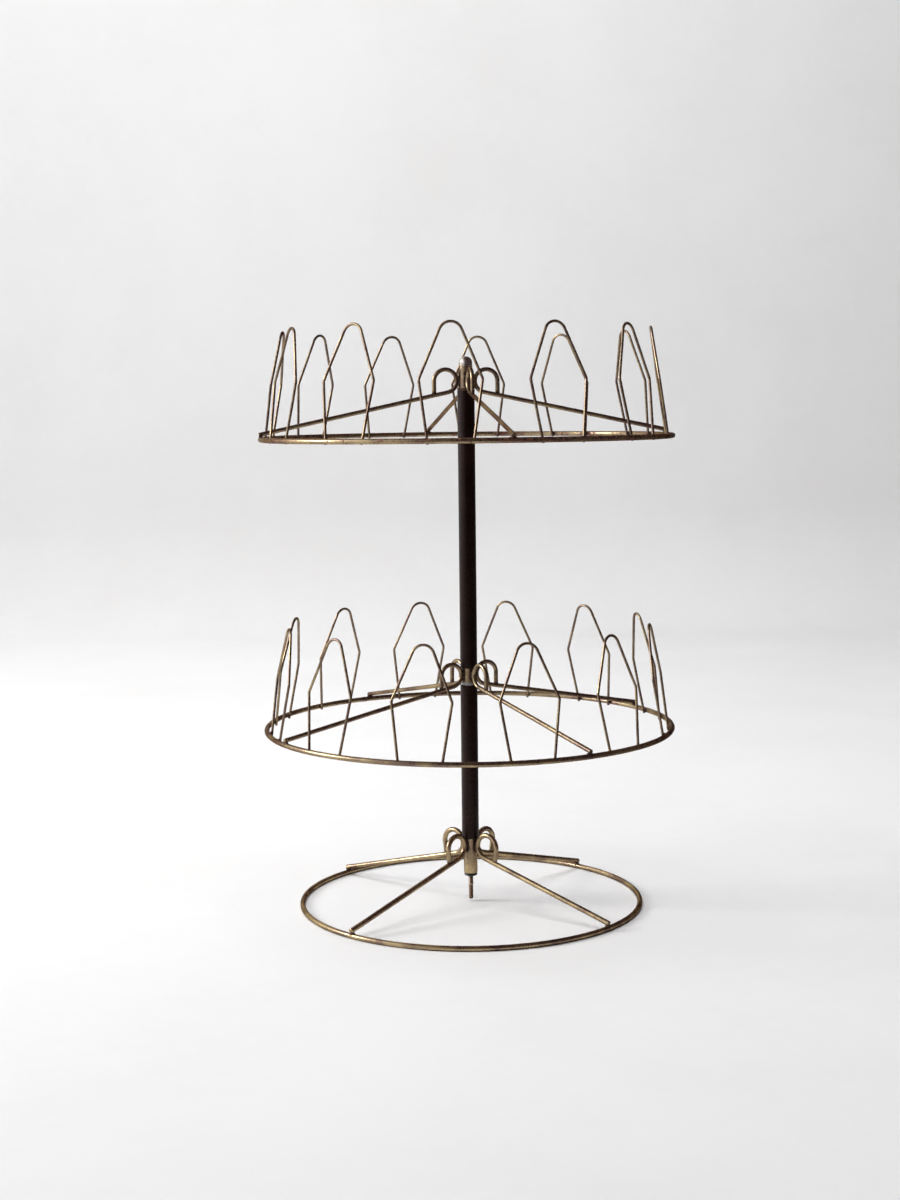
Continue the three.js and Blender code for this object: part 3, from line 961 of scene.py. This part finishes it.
def add_top_bush():
    """The thin flanged bush under the ball nut."""
    low, high = levels_of("top_bush")
    bore, outer = bore_of("top_bush"), reach_of("top_bush")
    spigot = bore_of("upper_tier_hub") - SPIGOT_GAP
    lip = high - TOP_BUSH_LIP
    profile = [(bore, low), (spigot, low), (spigot, lip), (outer, lip), (outer, high), (bore, high)]
    shape = turned(rounded(profile, TOP_BUSH_ROUNDING))
    add_detail("top_bush", shape, HUB_BRASS, sharp=60)


# The ball nut: its flange's thickness and rounded edge, the groove above it, the ball and the bore.
FLANGE = 1.2 * MM
FLANGE_EDGE = 0.35 * MM
NECK_RADIUS = 5.6 * MM
NECK_HEIGHT = 0.2 * MM
BALL_RADIUS = 6.1 * MM
BALL_CUT = 0.4 * MM
NUT_BORE_RADIUS = 2.25 * MM
NUT_BORE_DEPTH = 6 * MM


def add_ball_nut():
    """The bright ball nut: a thin flange with a rounded edge, a groove, and the ball above it."""
    low, high = levels_of("ball_nut")
    edge_at = reach_of("ball_nut") - FLANGE_EDGE
    top = low + FLANGE
    centre = high - BALL_RADIUS
    start = math.asin((top + BALL_CUT - centre) / BALL_RADIUS)
    profile = [
        (0, low + NUT_BORE_DEPTH),
        (NUT_BORE_RADIUS, low + NUT_BORE_DEPTH),
        (NUT_BORE_RADIUS, low),
        *arc(edge_at, low + FLANGE_EDGE, FLANGE_EDGE, -math.pi / 2, 0),
        *arc(edge_at, top - FLANGE_EDGE, FLANGE_EDGE, 0, math.pi / 2),
        (NECK_RADIUS, top),
        (NECK_RADIUS, top + NECK_HEIGHT),
        *arc(0, centre, BALL_RADIUS, start, math.pi / 2)[:-1],
        (0, high),
    ]
    add_detail("ball_nut", turned(profile), polished_nickel("nut_nickel"), sharp=45)


# ---- Stage, light and camera ----

WALL_DISTANCE = 2.25
WALL_HEIGHT = 3.5
COVE_RADIUS = 0.25
STAGE_HALF_WIDTH = 2.4
STAGE_FRONT = -2.3

# What stands in for the room beyond the stage, in the metal's reflections, and the world as seen.
DIM_ROOM = rgb(0.075, 0.052, 0.06)
PALE_ROOM = rgb(0.8, 0.8, 0.81)
CLEAN_PAINT = rgb(0.86, 0.86, 0.865)
SCUFFED_PAINT = rgb(0.83, 0.825, 0.82)

# The world's strength as a source of light and in the metal's reflections.
LIGHTING_ROOM = 0.22
MIRRORED_ROOM = 1.25

CAMERA_POSITION = (-0.01672, -1.6503, 0.4633)
CAMERA_PITCH = math.radians(90 - 6.1377)
CAMERA_ROLL = math.radians(-0.6575)
CAMERA_LENS = 53.69


def add_backdrop():
    """A pale floor that curves up into a pale wall behind the rack."""
    cove = arc(WALL_DISTANCE - COVE_RADIUS, COVE_RADIUS, COVE_RADIUS, -math.pi / 2, 0)
    profile = [(STAGE_FRONT, 0), *cove, (WALL_DISTANCE, WALL_HEIGHT)]
    points = [(x, y, z) for y, z in profile for x in (-STAGE_HALF_WIDTH, STAGE_HALF_WIDTH)]
    faces = [(2 * i, 2 * i + 1, 2 * i + 3, 2 * i + 2) for i in range(len(profile) - 1)]
    mesh = bpy.data.meshes.new("backdrop")
    mesh.from_pydata(points, [], faces)
    mesh.shade_smooth()
    backdrop = bpy.data.objects.new("backdrop", mesh)
    bpy.context.scene.collection.objects.link(backdrop)
    mesh.materials.append(pale_paint("backdrop_paint"))


def pale_paint(name):
    """Matt pale paint with faint scuffs. In the metal's reflections it is dim in front of the rack
    and to its right, as a room beyond a small white table is. To the eye it fades out at its edges."""
    finish = Finish(name)
    scuffs = finish.cloud(0.35, detail=5)
    marks = finish.cloud(0.02, detail=4)
    tone = finish.ramp(finish.blend(scuffs, marks, 0.2), 0.35, 0.7)
    colour = finish.mix(tone, CLEAN_PAINT, SCUFFED_PAINT)
    paint = finish.surface(colour, 0.75, 0.0, marks, 0.02 * MM)

    across, away = finish.along("X"), finish.along("Y")
    in_front = finish.ramp(away, -1.1, -0.5, low=0.85, high=0)
    to_the_right = finish.ramp(across, 0.02, 0.4, high=0.85)
    dim = finish.only_for("Glossy", finish.math("MAXIMUM", in_front, to_the_right))
    room = finish.node("ShaderNodeEmission", inputs={"Color": DIM_ROOM}).outputs[0]
    paint = finish.mix_shaders(dim, paint, room)

    margin = 0.05
    at_the_sides = finish.ramp(
        finish.math("ABSOLUTE", across, 0), 1.1, STAGE_HALF_WIDTH - margin
    )
    at_the_top = finish.ramp(finish.along("Z"), 1.4, WALL_HEIGHT - margin)
    at_the_front = finish.ramp(away, STAGE_FRONT + margin, -1.0, low=1, high=0)
    edge = finish.math("MAXIMUM", finish.math("MAXIMUM", at_the_sides, at_the_top), at_the_front)
    clear = finish.node("ShaderNodeBsdfTransparent").outputs[0]
    return finish.close(finish.mix_shaders(finish.only_for("Camera", edge), paint, clear))


def add_area_light(name, position, target, size, watts, spread=180, mirrored=True):
    """A rectangular light that shines within this spread, in degrees. One that isn't mirrored lights
    surfaces but doesn't show in the metal."""
    data = bpy.data.lights.new(name, "AREA")
    data.shape = "RECTANGLE"
    data.size, data.size_y = size
    data.energy = watts
    data.spread = math.radians(spread)
    light = bpy.data.objects.new(name, data)
    light.location = position
    aim = Vector(target) - Vector(position)
    light.rotation_euler = aim.to_track_quat("-Z", "Y").to_euler()
    light.visible_glossy = mirrored
    bpy.context.scene.collection.objects.link(light)


def add_lights():
    """The key comes in low from the left. Overhead lights even out the wall and the floor."""
    add_area_light("key", (-4.6, 0, 2.15), (0.4, -0.4, 0), (1.7, 1.7), watts=37, spread=80)
    add_area_light(
        "wall_wash", (-0.8, 0.2, 3.2), (-0.6, 2.25, 0.9), (3, 2), watts=94, mirrored=False
    )
    add_area_light(
        "front_fill", (-0.5, -1.6, 3.0), (0, -0.3, 0), (3, 2), watts=15, mirrored=False
    )


def add_world():
    """Pale all round to the eye. As a source of light, and more so in the metal's reflections, the
    room is bright on the left and dim elsewhere, so that round metal gets a dark side."""
    world = bpy.data.worlds.new("studio")
    bpy.context.scene.world = world
    world.use_nodes = True
    room = NodeTree(world.node_tree)
    direction = room.node("ShaderNodeTexCoord").outputs["Generated"]
    across = room.node("ShaderNodeSeparateXYZ", inputs={0: direction}).outputs["X"]
    on_the_left = room.ramp(across, -0.85, -0.15, low=1, high=0)
    more = room.only_for("Glossy", MIRRORED_ROOM - LIGHTING_ROOM)
    inputs = {
        "Color": room.mix(on_the_left, DIM_ROOM, WHITE),
        "Strength": room.math("ADD", more, LIGHTING_ROOM),
    }
    shed = room.node("ShaderNodeBackground", inputs=inputs).outputs[0]
    seen = room.node("ShaderNodeBackground", inputs={"Color": PALE_ROOM}).outputs[0]
    either = room.mix_shaders(room.only_for("Camera", 1.0), shed, seen)
    room.node("ShaderNodeOutputWorld", inputs={"Surface": either})


def add_camera():
    data = bpy.data.cameras.new("camera")
    data.lens = CAMERA_LENS
    data.clip_start, data.clip_end = 0.01, 50
    camera = bpy.data.objects.new("camera", data)
    camera.location = CAMERA_POSITION
    tilt = Matrix.Rotation(CAMERA_PITCH, 3, "X") @ Matrix.Rotation(CAMERA_ROLL, 3, "Z")
    camera.rotation_euler = tilt.to_euler()
    bpy.context.scene.collection.objects.link(camera)
    bpy.context.scene.camera = camera


# ---- Assembly ----

add_wheel("base", seam=math.radians(118), seed=11)
add_wheel("lower_tier", seam=math.radians(214), seed=12)
add_wheel("upper_tier", seam=math.radians(152), seed=13)
for pole in ("lower_pole", "upper_pole"):
    lacquer = dark_bronze(f"{pole}_lacquer", *levels_of(pole))
    add_tube(pole, lacquer, rounding=0.6 * MM)
add_tube("lower_washer", grey_zinc("washer_zinc"), rounding=0.4 * MM)
add_tube("upper_washer", red_fibre("washer_fibre"), rounding=0.3 * MM)
add_tie_rod()
add_rod_nut()
add_bottom_bush()
add_top_bush()
add_ball_nut()

add_backdrop()
add_lights()
add_world()
add_camera()
bpy.context.scene.view_settings.view_transform = "Standard"
